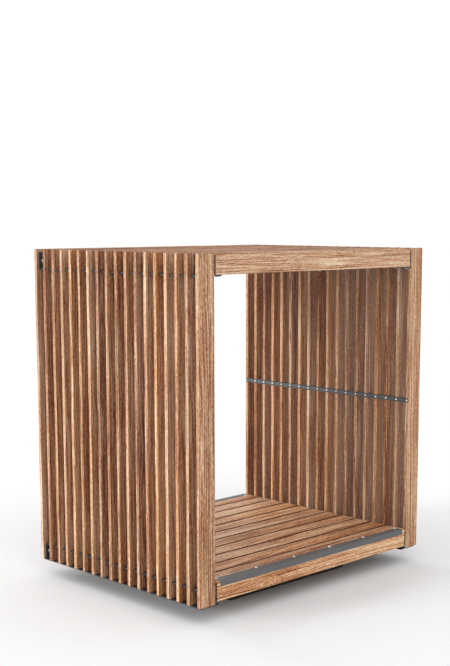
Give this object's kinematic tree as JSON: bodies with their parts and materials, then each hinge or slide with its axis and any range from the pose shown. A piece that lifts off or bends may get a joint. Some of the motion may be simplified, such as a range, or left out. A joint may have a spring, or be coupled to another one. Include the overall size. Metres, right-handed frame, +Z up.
{
  "type": "slatted litter container housing",
  "caption": "Open-ended timber lamella housing on a recessed steel plinth, with a boarded floor, for wheeled litter containers.",
  "frame": {"origin": "on the ground, at the centre of the footprint", "axes": "+Z up, the open front faces -Y, +X to the right of someone who looks at the front from outside"},
  "size_m": [1.4, 1.064, 1.476],
  "materials": {
    "lamella_timber": "oiled, open-pored ring-porous timber with strong figure",
    "deck_timber": "oiled timber boards",
    "grey_steel": "fine-textured dark grey powder coat",
    "black_steel": "matt black powder coat",
    "stainless": "bright stainless fasteners"
  },
  "bodies": {
    "root": {"back_nosing": "grey_steel", "back_rail": "deck_timber", "band_screws": "stainless", "cross_members": "black_steel", "end_plate_bolts": "stainless", "end_plates": "grey_steel", "floor_bearers": "black_steel", "floor_boards": "deck_timber", "floor_screws": "stainless", "front_nosing": "grey_steel", "front_rail": "deck_timber", "left_band": "grey_steel", "left_base_plate": "black_steel", "left_bottom_angle": "grey_steel", "left_lamella_01": "lamella_timber", "left_lamella_02": "lamella_timber", "left_lamella_03": "lamella_timber", "left_lamella_04": "lamella_timber", "left_lamella_05": "lamella_timber", "left_lamella_06": "lamella_timber", "left_lamella_07": "lamella_timber", "left_lamella_08": "lamella_timber", "left_lamella_09": "lamella_timber", "left_lamella_10": "lamella_timber", "left_lamella_11": "lamella_timber", "left_lamella_12": "lamella_timber", "left_lamella_13": "lamella_timber", "left_lamella_14": "lamella_timber", "left_lamella_15": "lamella_timber", "left_lamella_16": "lamella_timber", "left_lamella_17": "lamella_timber", "left_lamella_18": "lamella_timber", "left_top_angle": "grey_steel", "nosing_screws": "stainless", "plinth_frame": "black_steel", "right_band": "grey_steel", "right_base_plate": "black_steel", "right_bottom_angle": "grey_steel", "right_lamella_01": "lamella_timber", "right_lamella_02": "lamella_timber", "right_lamella_03": "lamella_timber", "right_lamella_04": "lamella_timber", "right_lamella_05": "lamella_timber", "right_lamella_06": "lamella_timber", "right_lamella_07": "lamella_timber", "right_lamella_08": "lamella_timber", "right_lamella_09": "lamella_timber", "right_lamella_10": "lamella_timber", "right_lamella_11": "lamella_timber", "right_lamella_12": "lamella_timber", "right_lamella_13": "lamella_timber", "right_lamella_14": "lamella_timber", "right_lamella_15": "lamella_timber", "right_lamella_16": "lamella_timber", "right_lamella_17": "lamella_timber", "right_lamella_18": "lamella_timber", "right_top_angle": "grey_steel", "roof_band": "grey_steel", "roof_lamellas": "lamella_timber", "roof_screws": "stainless"}
  },
  "joints": []
}
